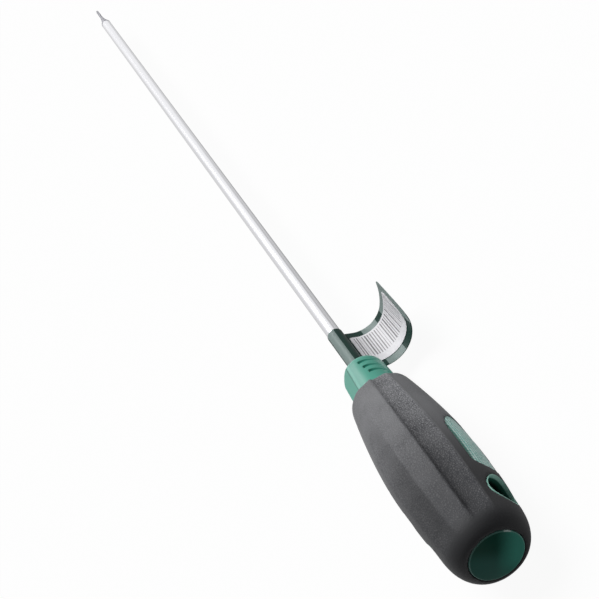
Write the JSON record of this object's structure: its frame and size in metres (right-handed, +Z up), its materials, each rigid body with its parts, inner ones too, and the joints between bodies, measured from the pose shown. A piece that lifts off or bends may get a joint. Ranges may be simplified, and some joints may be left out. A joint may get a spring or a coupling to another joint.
{
  "type": "six-lobe screwdriver",
  "caption": "Long-bladed screwdriver for small six-lobe screws: round chromed blade, hard handle with soft fluted grip, hang hole, pressed-in end cap and a film flag label that turns on the blade.",
  "frame": {"origin": "middle of the end cap's flat rear face", "axes": "+X along the blade to the tip, +Z up, Y along the hang hole; the tool lies on its side along X"},
  "size_m": [0.4962, 0.0399, 0.0286],
  "materials": {
    "blade_chrome": "bright chrome plate on steel, dark grey at the tip",
    "core_plastic": "plain moulded polypropylene, hidden",
    "hard_green": "mint green hard plastic, satin gloss",
    "soft_grey": "dark grey soft elastomer with a fine leather grain",
    "cap_green": "dark green glossy plastic",
    "label_film": "glossy printed film, dark green and grey-green bands",
    "label_paper": "white coated paper with plain black bars"
  },
  "bodies": {
    "driver": {"blade": "blade_chrome", "inner_core": "core_plastic", "handle_body": "hard_green", "soft_grip": "soft_grey", "end_cap": "cap_green"},
    "label": {"label_film": "label_film", "barcode_sticker": "label_paper"}
  },
  "joints": [
    {"name": "label_turn", "type": "hinge", "parent": "driver", "child": "label", "pos_m": [0.1082, 0, 0], "axis": [1, 0, 0], "continuous": true}
  ]
}
